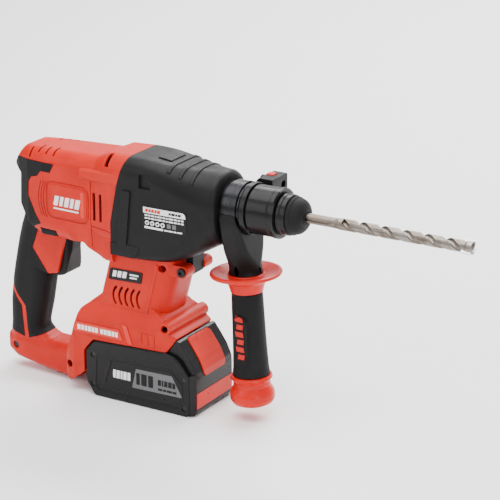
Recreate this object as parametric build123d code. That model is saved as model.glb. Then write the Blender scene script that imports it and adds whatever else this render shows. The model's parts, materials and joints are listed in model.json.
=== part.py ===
from build123d import *
from math import atan2, cos, degrees, pi, radians, sin, sqrt, tan
import os

# Cordless rotary hammer: upright motor, SDS-plus chuck, slide-on battery, side handle.
# Millimetres. The origin is the centre of the battery's bottom face, +X points towards the
# drill bit and +Z up. Y = 0 is the seam between the housing halves; the right side is -Y.

os.makedirs("parts", exist_ok=True)

# ---- driving dimensions -------------------------------------------------------------
AXIS_Z = 218.5            # height of the spindle axis
WALL = 2.6                # wall of the plastic housings
SKIN = 1.4                # depth of the rubber skin let into the handle
RUN_FIT = 0.05            # radial clearance of a running fit

GRIP_HALF = 17.0          # half the width of the rear handle
UPPER_HALF = 33.0         # half the width of the rear upper body
GEAR_HALF = 37.0          # half the width of the gear housing
BASE_HALF = 37.5          # half the width of the battery foot
NECK_HALF = 30.0          # half the width of the motor neck
PACK_HALF = 39.0          # half the width of the battery

BARREL_R = 34.0           # round front of the gear housing
COLLAR_R = 24.3           # nose collar that the side handle clamps on
SLEEVE_R = 24.5           # chuck sleeve
SHANK_R = 5.0             # SDS-plus shank, 10 mm
SPINDLE_R = 14.0          # outside of the hammer spindle
CYLINDER_R = 10.0         # bore that the piston and striker run in

GEAR_MODULE = 1.25
SPINDLE_TEETH = 40
COUNTER_TEETH = 10
BEVEL_TEETH = 36
PINION_TEETH = 9
COUNTER_Z = AXIS_Z - GEAR_MODULE * (SPINDLE_TEETH + COUNTER_TEETH) / 2
MOTOR_X = -6.0            # upright motor axis

HANDLE_LEAN = 3.4         # side handle leans forward, degrees
HANDLE_X = 100.0          # middle of the side handle's clamp
TRIGGER_TRAVEL = 7.0
SLEEVE_TRAVEL = 5.0
BIT_PLAY = 9.0
BATTERY_TRAVEL = 18.0

NECK_SCREW = (44.6, 147)  # screws through the neck lugs, X and Z
MODE_KNOB = (30, 196)     # axis of the mode knob on the left side, X and Z
ROD_PLACE = (40.5, 233.5) # bore for the depth rod, Y and Z
BLADE_Y = [-10, -4, 4, 10]
PACK_SCREWS = [(-54.5, 45), (-55, 13), (54.5, 39), (55, 9)]


# ---- small tools ----------------------------------------------------------------------
def outline(points, rounding=0.0, inset=0.0):
    """Closed outline with rounded corners, drawn smaller all round by inset."""
    face = make_face(FilletPolyline(*points, radius=rounding, close=True))
    if inset:
        face = offset(face, amount=-inset, kind=Kind.INTERSECTION)
    return face


def mirrored(half):
    """The points of one side, then the same points on the other side of Y = 0."""
    return list(half) + [(x, -y) for x, y in reversed(half)]


def side_prism(face, half_width):
    """Outline in X and Z, as wide as half_width each side of Y = 0."""
    return extrude(Plane.XZ * face, half_width, both=True)


def side_slab(face, y0, y1):
    """Outline in X and Z, from y0 to y1."""
    return Pos(0, y0, 0) * extrude(Plane.XZ * face, y0 - y1)


def plan_prism(face, z0, z1):
    """Outline in X and Y, from z0 to z1."""
    return Pos(0, 0, z0) * extrude(face, z1 - z0)


def section_prism(face, x0, x1):
    """Outline in Y and Z, from x0 to x1."""
    return Pos(x0, 0, 0) * extrude(Plane.YZ * face, x1 - x0)


def block(x0, x1, y0, y1, z0, z1, rounding=0.0):
    """Box between two corners, with its edges rounded."""
    box = Pos((x0 + x1) / 2, (y0 + y1) / 2, (z0 + z1) / 2) * Box(x1 - x0, y1 - y0, z1 - z0)
    return fillet(box.edges(), rounding) if rounding else box


def rod_x(radius, x0, x1, y=0.0, z=0.0):
    """Cylinder along X."""
    return Pos((x0 + x1) / 2, y, z) * Rot(0, 90, 0) * Cylinder(radius, x1 - x0)


def rod_y(radius, y0, y1, x=0.0, z=0.0):
    """Cylinder along Y."""
    return Pos(x, (y0 + y1) / 2, z) * Rot(90, 0, 0) * Cylinder(radius, y1 - y0)


def rod_z(radius, z0, z1, x=0.0, y=0.0):
    """Cylinder along Z."""
    return Pos(x, y, (z0 + z1) / 2) * Cylinder(radius, z1 - z0)


def turned(points, z=AXIS_Z):
    """Round piece about an axis along X, from its outline as (x, radius)."""
    return Pos(0, 0, z) * revolve(Plane.XZ * make_face(Polyline(*points, close=True)), Axis.X)


def tube_x(outer, inner, x0, x1, z=AXIS_Z):
    """Plain tube along X."""
    return turned([(x0, inner), (x1, inner), (x1, outer), (x0, outer)], z)


def lofted(stations, inset=0.0, ruled=True):
    """Body through rounded sections along X.

    A station is (x, half width, bottom, top, top corner radius, bottom corner radius).
    """
    faces = []
    for number, (x, half, low, high, top_r, low_r) in enumerate(stations):
        if number == 0:
            x += inset
        if number == len(stations) - 1:
            x -= inset
        half -= inset
        low += inset
        high -= inset
        top_r = max(top_r - inset, 0.5)
        low_r = max(low_r - inset, 0.5)
        corners = [(half, low), (half, high), (-half, high), (-half, low)]
        ring = FilletPolyline(*corners, radius=[low_r, top_r, top_r, low_r], close=True)
        faces.append(Plane.YZ.offset(x) * make_face(ring))
    return loft(faces, ruled=ruled)


def column(stations, inset=0.0, ruled=True):
    """Body through rounded sections along Z.

    A station is (z, rear, front, half width, rear corner radius, front corner radius).
    """
    faces = []
    for number, (z, rear, front, half, rear_r, front_r) in enumerate(stations):
        if number == 0:
            z += inset
        if number == len(stations) - 1:
            z -= inset
        rear += inset
        front -= inset
        half -= inset
        rear_r = max(rear_r - inset, 0.5)
        front_r = max(front_r - inset, 0.5)
        corners = [(rear, -half), (front, -half), (front, half), (rear, half)]
        ring = FilletPolyline(*corners, radius=[rear_r, front_r, front_r, rear_r], close=True)
        faces.append(Pos(0, 0, z) * make_face(ring))
    return loft(faces, ruled=ruled)


def save(node, *solids):
    """Writes one node; several solids become one group."""
    pieces = []
    for shape in solids:
        pieces.extend(shape.solids())
    export_step(pieces[0] if len(pieces) == 1 else Compound(children=pieces), f"parts/{node}.step")


# ---- housing: outer form ---------------------------------------------------------------
UPPER_STATIONS = [
    (-166, 13, 156, 248.6, 10, 10),
    (-152, 22.5, 156, 249.0, 12, 14),
    (-138, 27.8, 156, 249.4, 13, 18),
    (-118, 30.5, 156, 250.1, 14, 18),
    (-90, 31.6, 156, 251.0, 14.5, 14),
    (-68, 32.4, 150, 251.7, 15, 8),
    (-50, UPPER_HALF, 146, 252.2, 15, 6),
    (-26, 35, 146, 252.9, 15, 6),
]
HUMP_STATIONS = [
    (-58, 32, 170, 249.5, 14, 6),
    (-40, 35, 170, 257.4, 16, 6),
    (-12, 36.6, 170, 258.3, 17, 6),
]
UPPER_SIDE = [
    (-160, 228), (-151, 240.5), (-138, 262), (-14, 262), (-14, 258.2), (-23, 229),
    (-31, 190), (-31, 141), (-37.5, 144.6), (-46.3, 151.3), (-61.5, 157.2), (-67.5, 161.8),
    (-73, 161.6), (-99, 158.4), (-124, 158), (-140, 172), (-151, 188), (-149, 221),
]
UPPER_ROUNDING = [3, 10, 0, 0, 0, 0, 0, 0, 3, 5, 3, 3, 3, 6, 4, 5, 5, 3]

GRIP_STATIONS = [
    (20, -182, -125, 14.5, 12, 12),
    (35, -182, -122, 16, 13, 13),
    (38.5, -181.3, -131, 16.1, 13, 13),
    (42, -180.7, -136.2, 16.3, 13, 13),
    (46, -180, -139.8, 16.5, 13.5, 13.5),
    (51, -179.5, -141, 16.7, 13.5, 13.5),
    (75, -179, -135, GRIP_HALF, 14, 14),
    (102, -175.5, -130, GRIP_HALF, 14, 14),
    (117, -172.5, -128.5, GRIP_HALF, 14, 14),
    (144, -166.5, -124, 17, 14, 12),
    (160, -161.5, -118, 18, 14, 12),
    (175, -155, -112, 20, 14, 12),
    (190, -150.5, -108, 21, 13, 12),
    (224, -149, -104, 22, 12, 12),
]
FOOT_STATIONS = [
    (-184, 9, 23, 36, 5, 5),
    (-180, 14, 15.5, 38, 8, 8),
    (-170, 16.5, 10, 39.5, 9, 9),
    (-143, 17.5, 6, 38, 9, 9),
    (-118, 18.5, 3.2, 37, 9, 9),
    (-102, 20, 2.5, 38, 9, 9),
    (-92, 24, 4.5, 40, 9, 9),
    (-80, 30, 12, 42, 9, 9),
]
TRIGGER_BAY = [
    (-150, 178), (-146, 120), (-124, 113.5), (-112, 116), (-102.5, 152), (-101, 164), (-110, 178),
]
BASE_SIDE = [
    (-46, 112), (-71, 92), (-78.5, 74), (-83, 58.5), (-92, 34), (-91, 16), (-85, 10),
    (-76, 16.5), (-66.8, 24), (-66.8, 47.5), (-55.5, 60.8), (33, 64.2), (43.5, 79),
    (41, 81), (31.5, 85), (26.5, 94.5), (20, 99.5), (0, 112),
]
BASE_ROUNDING = [0, 6, 6, 8, 6, 5, 4, 4, 3, 4, 5, 1, 1, 1, 6, 4, 4, 0]
BASE_PLAN = mirrored([(-98, 24), (-94, 32), (-88, 36.5), (-80, BASE_HALF), (30, BASE_HALF), (44.5, 32)])
BASE_PLAN_ROUNDING = [6, 5, 6, 6, 3, 3, 3, 3, 6, 6, 5, 6]
BASE_SECTION = mirrored([(-10, BASE_HALF), (87, BASE_HALF), (98.5, 29.5), (130, 29.5)])
NECK_STATIONS = [
    (94, -54.3, 22.5, NECK_HALF, 5, 20),
    (156.4, -37, 39.5, NECK_HALF, 5, 20),
]


def upper_body(inset=0.0):
    """Rear upper body with the hump that rises to the gear housing."""
    lumps = lofted(UPPER_STATIONS, inset) + lofted(HUMP_STATIONS, inset)
    return lumps & side_prism(outline(UPPER_SIDE, UPPER_ROUNDING, inset), 60)


def battery_base(inset=0.0):
    """Foot that the battery slides under, with sloping shoulders."""
    section = make_face(Polyline(*[(y, z) for z, y in BASE_SECTION], close=True))
    if inset:
        section = offset(section, amount=-inset, kind=Kind.INTERSECTION)
    base = side_prism(outline(BASE_SIDE, BASE_ROUNDING, inset), 60)
    base = base & plan_prism(outline(BASE_PLAN, BASE_PLAN_ROUNDING, inset), 0, 140)
    return base & section_prism(section, -110, 60)


def housing_form(inset=0.0):
    """Everything moulded in red, as one closed form."""
    bay = side_prism(outline(TRIGGER_BAY, 3, inset), 17.2 - inset)
    form = upper_body(inset) + column(GRIP_STATIONS, inset) + lofted(FOOT_STATIONS, inset)
    return form + bay + battery_base(inset) + column(NECK_STATIONS, inset)


# ---- housing: cut-outs and halves -------------------------------------------------------
RUBBER_AREA = [
    (-175, 237.5), (-103, 237.5), (-108, 228), (-120, 228), (-125, 222), (-133, 220),
    (-137, 214), (-138, 199), (-128, 180), (-122, 172), (-132, 167), (-143, 139),
    (-124, 113), (-105, 112), (-110, 53), (-126, 46), (-152, 36.5), (-159, 37), (-195, 47), (-195, 200),
]
STRIPE_AREA = [
    (-186, 113), (-165, 84), (-155, 72), (-152, 30), (-157.5, 30), (-160, 71), (-171, 86), (-186, 101),
]
HOUSING_SCREWS = [(-86, 28), (31, 88), (24, 148.5), (-170, 25), (-145, 173)]
UPPER_VENTS_X = [-53, -44.5]
NECK_VENTS = 5
TOP_SLOTS = [(-134.8, 19, 239.6), (-125, 11, 245), (-115.2, 14, 244.8), (-105.4, 14, 244.6)]
FRONT_CUT = [(-14, 300), (-14, 258.2), (-23, 229), (-31, 190), (-31, 156.4), (140, 156.4), (140, 300)]


RIGHT_SIDE = block(-400, 400, -200, 0, -50, 400)


def rubber_zone():
    """Where the rubber skin lies on the rear handle, seen from the side."""
    area = make_face(Polyline(*RUBBER_AREA, close=True)) - make_face(Polyline(*STRIPE_AREA, close=True))
    return side_prism(area, 60)


def rail_bands():
    """Ledge along each side of the upper body, just behind the gear housing."""
    corners = [(30, 229.5), (35.2, 229.5), (36.6, 231), (36.6, 238.5), (34.5, 240.5), (30, 240.5)]
    band = section_prism(make_face(Polyline(*corners, close=True)), -68, -14)
    return band + mirror(band, Plane.XZ)


def neck_vents():
    """Curved cooling slots in both sides of the neck."""
    slots = []
    for number in range(NECK_VENTS):
        x = -30.8 + 7.1 * number
        bow = ThreePointArc((x, 102), (x - 3.3, 111), (x + 1.2, 121))
        slots.append(side_prism(trace(bow, line_width=2.4), 60))
    return slots


def screw_bosses():
    """Posts inside the halves that the long housing screws run through."""
    posts = [rod_y(4.6, -26, 26, x, z) for x, z in HOUSING_SCREWS[:3]]
    posts += [rod_y(4.2, -15.5, 15.5, x, z) for x, z in HOUSING_SCREWS[3:4]]
    posts += [rod_y(4.6, -30, 30, x, z) for x, z in HOUSING_SCREWS[4:]]
    return posts


def side_panels():
    """Raised panels that follow the sides: badge field, text bar and its slanted end, neck rib."""
    badge = outline([(-110, 184), (-62, 184), (-62, 217), (-110, 217)], 7)
    bar = outline([(-80, 66.5), (-17, 66.5), (-22.5, 78), (-75, 78)], 1)
    slash = outline([(-12, 64), (-6, 64), (-13, 84.5), (-19, 84.5)], 1)
    rib = outline([(18, 152), (21, 152), (7, 99), (4, 99)], 0.8)
    areas = side_prism(badge, 60) + side_prism(bar, 60) + side_prism(slash, 60) + side_prism(rib, 60)
    return housing_form(-0.8) & areas


def side_grooves():
    """Shallow lines in the sides: round the badge field, its arcs, and the joint line behind the vents."""
    frame = outline([(-113, 181), (-59.5, 181), (-59.5, 220), (-113, 220)], 9)
    frame = frame - outline([(-112, 182), (-60.5, 182), (-60.5, 219), (-112, 219)], 8)
    lines = side_prism(frame, 60)
    for number in range(3):
        x = -115.5 - 3.2 * number
        bow = ThreePointArc((x + 3, 218), (x - 1.5, 199), (x + 3, 181))
        lines = lines + side_prism(trace(bow, line_width=1.1), 60)
    seam = Polyline((-56.8, 229.5), (-57.5, 187), (-55.5, 158))
    lines = lines + side_prism(trace(seam, line_width=0.8), 60)
    lines = lines + side_prism(trace(Polyline((-57.5, 181), (-31, 179)), line_width=0.8), 60)
    return lines - housing_form(0.7)


def housing_cuts():
    """Openings through the red housing."""
    cuts = [side_prism(make_face(Polyline(*FRONT_CUT, close=True)), 60), side_grooves()]
    cuts += [block(x - 1.7, x + 1.7, -60, 60, 187, 216) for x in UPPER_VENTS_X]
    cuts += neck_vents()
    for side in (-1, 1):
        for x, y, z in TOP_SLOTS:
            cuts.append(block(x - 1.1, x + 1.1, *sorted((y * side, 40 * side)), z, 260))
        lens = outline([(-37.8, 22), (-33.2, 22), (-34.4, 40), (-38.8, 40)], 1.2)
        cuts.append(plan_prism(lens if side > 0 else mirror(lens, Plane.XZ), 245.6, 262))
    cuts.append(block(-131.2, -90, -14.1, 14.1, 107.5, 158.8))
    cuts.append(block(-123.6, -102.4, -40, 40, 159.6, 167.2))
    cuts.append(block(-34, -4, -30, 30, 160, 238))
    cuts.append(rod_z(22.5, 120, 170, MOTOR_X))
    cuts.append(block(-37, 60, -22.6, 22.6, 50, 72.4))
    cuts.append(block(-41, -36, -11.5, 11.5, 65.4, 71.6))
    return cuts


def screw_seats(side):
    """Counterbore (head side) or pilot hole (thread side) of each housing screw."""
    seats = []
    for x, z in HOUSING_SCREWS:
        if side < 0:
            seats.append(rod_y(1.7, -60, 0, x, z))
            seats.append(rod_y(3.9, -60, -12.0, x, z))
        else:
            seats.append(rod_y(1.6, 0, 12, x, z))
    return seats


def housing_halves(form, core):
    """Right and left red half shells, hollow, with posts, rails and every opening."""
    zone = rubber_zone()
    skin_room = (form & zone) - core
    boss_x, boss_z = HOUSING_SCREWS[1]
    boss = rod_y(6.6, -36.4, 36.4, boss_x, boss_z) - housing_form(WALL)
    shell = (form + rail_bands() + side_panels() + boss) - skin_room
    shell = shell - housing_form(WALL)
    inner = form - skin_room
    for post in screw_bosses():
        shell = shell + (post & inner)
    bay_walls = block(-39.6, 46, -25.2, 25.2, 58, 75) & inner
    lug = rod_y(6.2, -24, 24, *NECK_SCREW) + block(30, 44, -24, 24, 141, 153)
    lug = lug - block(30, 60, -10, 10, 130, 160) - rod_y(2.25, -30, 30, *NECK_SCREW)
    shell = shell + bay_walls + lug
    for cut in housing_cuts():
        shell = shell - cut
    for side in (-1, 1):
        shell = shell + block(-34, 33, min(18.9 * side, 23 * side), max(18.9 * side, 23 * side), 64.6, 66.8)
    right = shell & RIGHT_SIDE
    left = shell - RIGHT_SIDE
    for seat in screw_seats(-1):
        right = right - seat
    for seat in screw_seats(1):
        left = left - seat
    return right, left


def rubber_skins(core):
    """Soft overmould on the rear handle, one piece on each half."""
    skin = (housing_form(-0.35) & rubber_zone()) - core
    for cut in housing_cuts():
        skin = skin - cut
    right = skin & RIGHT_SIDE
    left = skin - RIGHT_SIDE
    for x, z in HOUSING_SCREWS:
        right = right - rod_y(3.9, -60, 0, x, z)
    return right, left


def housing_screws():
    """Long screws with round heads that hold the halves together."""
    return [rod_y(1.6, -12, 9.5, x, z) + rod_y(3.3, -14.6, -12, x, z) for x, z in HOUSING_SCREWS]


# ---- gear housing ------------------------------------------------------------------------
GEAR_STATIONS = [
    (-40, 36.8, 155.5, 258.3, 17, 4),
    (-20, 36.9, 155.7, 258.3, 17, 4),
    (0, GEAR_HALF, 156, 258, 17.5, 4.5),
    (20, GEAR_HALF, 157, 256.4, 19, 6),
    (36, 36.8, 158.8, 254.3, 22, 10),
    (52, 36.2, 163, 253, 27, 17),
    (70, 35, 171.5, 252.6, 32, 27),
    (87, BARREL_R, 180, 252.5, 33.5, 32),
]
GEAR_FRONT_X = 87.0
GEAR_WALL = 3.0
WEB_X = 76.0              # back of the thick front wall that carries the bearings
RIB_X = [34, 47, 60]
GEAR_REAR = [(-14, 262), (-14, 258.2), (-23, 229), (-31, 190), (-31, 150), (120, 150), (120, 262)]


def gear_form(inset=0.0):
    """Outside of the gear housing, from the flat-sided rear to the round barrel."""
    return lofted(GEAR_STATIONS, inset, ruled=False)


def gear_housing():
    """Black gear housing with its ribs, side recess, web and bearing pockets."""
    form = gear_form()
    front_edges = form.edges().filter_by_position(Axis.X, GEAR_FRONT_X - 0.01, GEAR_FRONT_X + 0.01)
    form = fillet(front_edges, 6)
    proud = gear_form(-1.1)
    for x in RIB_X:
        band = block(x - 1.6, x + 1.6, -30, 30, 238, 270)
        form = form + (proud & band)
    form = form + (gear_form(-1.3) & block(12, 27, -13, 13, 240, 262))
    for side in (-1, 1):
        y = 36.0 * side
        pillar_face = outline([(-22, 170), (-11.5, 170), (-6, 226), (-16, 226)], 2)
        pillar = side_slab(pillar_face, *sorted((y, y + 2.6 * side)))
        lip_face = outline([(-34, 157), (-2, 157), (4, 170), (-34, 170)], 1.5)
        lip = side_slab(lip_face, *sorted((y, y + 1.6 * side)))
        form = form + pillar + lip
        form = form - block(4, 17, *sorted((34.6 * side, 50 * side)), 231, 245)
        form = form - block(16, 84, *sorted((36.0 * side, 50 * side)), 240.4, 242.6)
    form = form & side_prism(make_face(Polyline(*GEAR_REAR, close=True)), 60)
    tongue = block(40.6, 48.6, -9.6, 9.6, 141.5, 166) - rod_y(2.25, -20, 20, *NECK_SCREW)
    form = form + tongue
    cavity = gear_form(GEAR_WALL) & block(-60, WEB_X, -60, 60, 100, 300)
    pocket_floor = block(3, 18, -34.3, 34.3, 230, 246)
    housing = form - (cavity - (pocket_floor - block(-60, 60, -31, 31, 100, 300)))
    boss = rod_z(11.5, 155.5, 163.4, MOTOR_X) & gear_form(0.2)
    housing = housing + (boss - rod_z(8, 150, 170, MOTOR_X))
    housing = housing - rod_z(8, 150, 164, MOTOR_X)
    housing = housing - rod_x(18.5, 70, 84, 0, AXIS_Z) - rod_x(COLLAR_R, 82, 92, 0, AXIS_Z)
    housing = housing - rod_x(9, 70, 82.5, 0, COUNTER_Z)
    return housing - rod_y(7 + RUN_FIT, 20, 50, *MODE_KNOB)


def gear_case_screws():
    """Pan-head screws that hold the gear housing's tongue between the neck lugs."""
    x, z = NECK_SCREW
    screws = []
    for side in (-1, 1):
        head = fillet(rod_y(4.6, *sorted((24 * side, 27 * side)), x, z).edges(), 0.8)
        hex_hole = Pos(x, 27 * side, z) * Rot(90, 0, 0) * extrude(RegularPolygon(2.2, 6), 1.8, both=True)
        screws.append(head - hex_hole + rod_y(2.2, *sorted((5 * side, 24.5 * side)), x, z))
    return screws


def nose_collar():
    """Metal nose tube that holds the front bearing; the side handle clamps round it."""
    return turned([
        (84, 18.4), (84, COLLAR_R), (109, COLLAR_R), (110, COLLAR_R - 1), (110, 14.2),
        (106, 14.2), (106, 17), (90, 17), (90, 18.4),
    ])


def collar_ring():
    """Guard ring in front of the collar; the sleeve retracts into it."""
    return turned([
        (110, 14.2), (110, 25), (111, 26), (115.4, 26), (116, 25.6), (116, 25.1),
        (111.6, 25.1), (111.6, 14.2),
    ])


# ---- drive train ---------------------------------------------------------------------------
def gear_outline(teeth, module, backlash):
    """Involute gear outline, centred on the origin."""
    pitch_r = module * teeth / 2
    base_r = pitch_r * cos(radians(20))
    tip_r = pitch_r + 0.9 * module
    root_r = pitch_r - 1.2 * module
    half_tooth = pi / (2 * teeth) - backlash / (2 * pitch_r)
    flank_pitch = tan(radians(20)) - radians(20)
    points = []
    for tooth in range(teeth):
        middle = 2 * pi * tooth / teeth
        rising = []
        for step in range(5):
            r = max(base_r, root_r) + (tip_r - max(base_r, root_r)) * step / 4
            swing = sqrt(max((r / base_r) ** 2 - 1, 0))
            rising.append((r, half_tooth + flank_pitch - (swing - atan2(swing, 1))))
        if root_r < base_r:
            rising.insert(0, (root_r, rising[0][1]))
        points += [(r * cos(middle - a), r * sin(middle - a)) for r, a in rising]
        points += [(r * cos(middle + a), r * sin(middle + a)) for r, a in reversed(rising)]
    return make_face(Polyline(*points, close=True))


def spur_gear(teeth, x0, x1, z):
    """Spur gear about an axis along X."""
    return Pos(0, 0, z) * section_prism(gear_outline(teeth, GEAR_MODULE, 0.22), x0, x1)


def bevel_wheel(teeth, mate_teeth, face_width=6.5):
    """Straight bevel gear: apex at the origin, axis along +Z, teeth at z > 0."""
    pitch_r = GEAR_MODULE * teeth / 2
    cone = atan2(teeth, mate_teeth)
    slant = pitch_r / sin(cone)
    outward = (cos(cone), -sin(cone))
    near = (slant - face_width) / slant
    low_r = pitch_r - 1.1 * GEAR_MODULE * outward[0]
    low_z = pitch_r / tan(cone) - 1.1 * GEAR_MODULE * outward[1]
    back_z = low_z + 2.6 * sin(cone)
    back_r = low_r - 2.6 * cos(cone)
    body = [(0, near * low_z), (near * low_r, near * low_z), (low_r, low_z), (back_r, back_z), (0, back_z)]
    wheel = revolve(Plane.XZ * make_face(Polyline(*body, close=True)), Axis.Z)
    rows = [(-1.25, 0.62), (0.0, 0.40), (0.62, 0.22)]
    for tooth in range(teeth):
        ends = []
        for scale_to_apex in (1.0, near):
            corners = []
            for side in (1, -1):
                for height, width in rows[::side]:
                    r = pitch_r + height * GEAR_MODULE * outward[0]
                    z = pitch_r / tan(cone) + height * GEAR_MODULE * outward[1]
                    y = side * width * pi * GEAR_MODULE / 2
                    corners.append((scale_to_apex * r, scale_to_apex * y, scale_to_apex * z))
            ends.append(make_face(Polyline(*corners, close=True)))
        wheel = wheel + Rot(0, 0, 360 * tooth / teeth) * loft(ends, ruled=True)
    return wheel


def coil(radius, wire_r, start, end, turns, place):
    """Compression spring along the local Z axis of place."""
    path = Helix(pitch=(end - start - 2 * wire_r) / turns, height=end - start - 2 * wire_r, radius=radius)
    wire = sweep(Plane(origin=path @ 0, z_dir=path % 0) * Circle(wire_r), path=path)
    return place * Pos(0, 0, start + wire_r) * wire


def spindle():
    """Hammer spindle: cylinder for the piston and striker, bore for the bit shank."""
    tube = turned([
        (33, CYLINDER_R), (33, SPINDLE_R), (86, SPINDLE_R), (86, 12.5), (118, 12.5), (118, 12),
        (160, 12), (160, SHANK_R + RUN_FIT), (134.5, SHANK_R + RUN_FIT), (134.5, 6.1),
        (103, 6.1), (101, CYLINDER_R),
    ])
    for side in (-1, 1):
        ball_hole = Pos(150, 0, AXIS_Z + 6.5 * side) * Cylinder(3.5, 13)
        key = block(137, 158, *sorted((3.8 * side, 5.4 * side)), AXIS_Z - 0.95, AXIS_Z + 0.95)
        tube = tube - ball_hole + key
    return tube


def spindle_gear():
    """Spur gear keyed on the spindle."""
    return spur_gear(SPINDLE_TEETH, 48, 58, AXIS_Z) - rod_x(SPINDLE_R, 40, 70, 0, AXIS_Z)


def locking_balls():
    """Two balls that hold the bit in its closed grooves."""
    return [Pos(150, 0, AXIS_Z + side * 6.9) * Sphere(3.35) for side in (-1, 1)]


def piston():
    """Piston with the fork at its back that the wobble finger drives."""
    crown = turned([(34, 0), (54, 0), (54, 9.93), (36, 9.93), (36, 9.0), (34, 9.0)])
    fork = rod_x(9.0, 16, 34.5, 0, AXIS_Z) & block(16, 35, -8.4, 8.4, AXIS_Z - 9, AXIS_Z + 9)
    fork = fork - block(10, 31, -4.3, 4.3, AXIS_Z - 10, AXIS_Z + 10)
    return crown + (fork - rod_y(3.0, -10, 10, 22, AXIS_Z))


def piston_pin():
    """Cross pin in the fork, drilled for the wobble finger."""
    return rod_y(2.95, -8.2, 8.2, 22, AXIS_Z) - rod_z(2.05, AXIS_Z - 5, AXIS_Z + 5, 22)


def striker():
    """Free hammer driven by the air spring."""
    return turned([
        (72, 0), (97, 0), (98, 5), (98, 9.0), (96, 9.7), (84.4, 9.7), (84.4, 8.6), (81.6, 8.6),
        (81.6, 9.7), (73, 9.7), (72, 9.0),
    ])


def beat_piece():
    """Impact bolt between the striker and the bit."""
    return turned([
        (104.5, 0), (104.5, 5.5), (105, 6.04), (122, 6.04), (124, 4.6), (133.7, 4.6), (133.7, 0),
    ])


def seal_ring(x, outer, wire):
    """O-ring about the spindle axis."""
    return Pos(x, 0, AXIS_Z) * Rot(0, 90, 0) * Torus(outer - wire, wire)


def chuck_sleeve():
    """Locking sleeve: skirt, grip surface and front ring on an inner web."""
    return turned([
        (117, 22.6), (117, 24.0), (118, SLEEVE_R), (139.5, SLEEVE_R), (140.4, 24.0), (141.3, 24.0),
        (142, 25.1), (145.6, 25.1), (147, 23.8), (147, 12.6), (144, 12.6), (144, 20), (137, 20),
        (137, 12 + RUN_FIT), (132, 12 + RUN_FIT), (132, 22.6),
    ])


def front_ring():
    """Stepped ring fixed on the spindle in front of the sleeve."""
    return turned([
        (147.6, 12), (147.6, 19.6), (148.6, 21), (151.6, 21), (152.2, 20.2), (156.4, 20.2),
        (157, 19.6), (157, 12),
    ])


def dust_cap():
    """Rubber nose with its domed lip round the shank."""
    rim = [(157, 12.0), (157, 18.2), (158.2, 19.0), (161, 19.0), (162, 18.0)]
    bulge = [(162 + 10 * sin(radians(a)), 7.6 + 10.4 * cos(radians(a))) for a in range(15, 91, 15)]
    return turned([*rim, *bulge, (173, 7.2), (173, 5.35), (160.4, 5.35), (160.4, 12.0)])


def flute_section(radius):
    """Cross-section of the drill with two wide flutes."""
    face = make_face(Circle(radius).edges())
    for side in (-1, 1):
        face = face - Pos(side * radius * 1.18, 0) * Circle(radius * 0.72)
    return face


def drill_bit():
    """SDS-plus masonry drill: shank with grooves, fluted body, slot for the tip."""
    shank = turned([(134, 0), (134, 4.2), (135, SHANK_R), (203, SHANK_R), (208, 5.4), (212, 5.4), (212, 0)])
    ball_x = [150 - BIT_PLAY, 150]
    for side in (-1, 1):
        z = AXIS_Z + side * 7.0
        shank = shank - rod_x(3.6, ball_x[0], ball_x[1], 0, z)
        shank = shank - [Pos(x, 0, z) * Sphere(3.6) for x in ball_x]
        shank = shank - block(130, 198, *sorted((3.4 * side, 9 * side)), AXIS_Z - 1.2, AXIS_Z + 1.2)
    length = 340 - 208
    twisted = Solid.extrude_linear_with_rotation(
        flute_section(5.7).faces()[0], (0, 0, 0), (0, 0, length), 360 * length / 45)
    body = Pos(208, 0, AXIS_Z) * Rot(0, 90, 0) * twisted
    head = turned([(336, 0), (336, 4.4), (341, 6.3), (346, 6.3), (347.5, 3.5), (348, 0)])
    return (shank + body + head) - tip_plate()


def tip_plate():
    """Carbide plate across the end of the drill, with a blunt point."""
    corners = [(336, -6.9), (345.5, -6.9), (349.5, 0), (345.5, 6.9), (336, 6.9)]
    plate = extrude(make_face(Polyline(*corners, close=True)), 1.7, both=True)
    return Pos(0, 0, AXIS_Z) * Rot(40, 0, 0) * plate


def countershaft():
    """Shaft with the pinion that drives the spindle gear."""
    bar = rod_x(4.6, -26, 82, 0, COUNTER_Z)
    return bar + spur_gear(COUNTER_TEETH, 47, 59, COUNTER_Z)


def bevel_gear():
    """Large bevel gear on the countershaft, behind the motor pinion."""
    wheel = Pos(MOTOR_X, 0, COUNTER_Z) * Rot(0, -90, 0) * bevel_wheel(BEVEL_TEETH, PINION_TEETH)
    return wheel - rod_x(4.6, -40, 40, 0, COUNTER_Z)


def wobble_hub():
    """Ball-shaped hub on the countershaft that swings the wobble ring."""
    ball = Pos(22, 0, COUNTER_Z) * Sphere(10.6)
    return (ball & block(16, 28, -20, 20, 150, 220)) - rod_x(4.6, 0, 40, 0, COUNTER_Z)


def wobble_ring():
    """Ring with the finger that pushes the piston to and fro."""
    ring = rod_x(15, 18.2, 25.8, 0, COUNTER_Z) - Pos(22, 0, COUNTER_Z) * Sphere(10.6 + RUN_FIT + 0.03)
    finger = rod_z(1.85, COUNTER_Z + 13, AXIS_Z + 4, 22)
    return ring + finger


def shaft_bearings():
    """Ball bearings of the countershaft, one at each end."""
    return [tube_x(9, 4.6 + RUN_FIT, x, x + 6, COUNTER_Z) for x in (-24, 76.2)]


def rear_plate():
    """Metal plate that closes the gear housing and holds the rear bearing."""
    plate = gear_form(GEAR_WALL + 0.4) & block(-26, -22, -60, 60, 158, 208)
    boss = rod_x(11.5, -28, -17.5, 0, COUNTER_Z)
    plate = plate + boss
    plate = plate - rod_x(9, -24, -10, 0, COUNTER_Z)
    return plate - rod_x(5.4, -40, -20, 0, COUNTER_Z)


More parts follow.
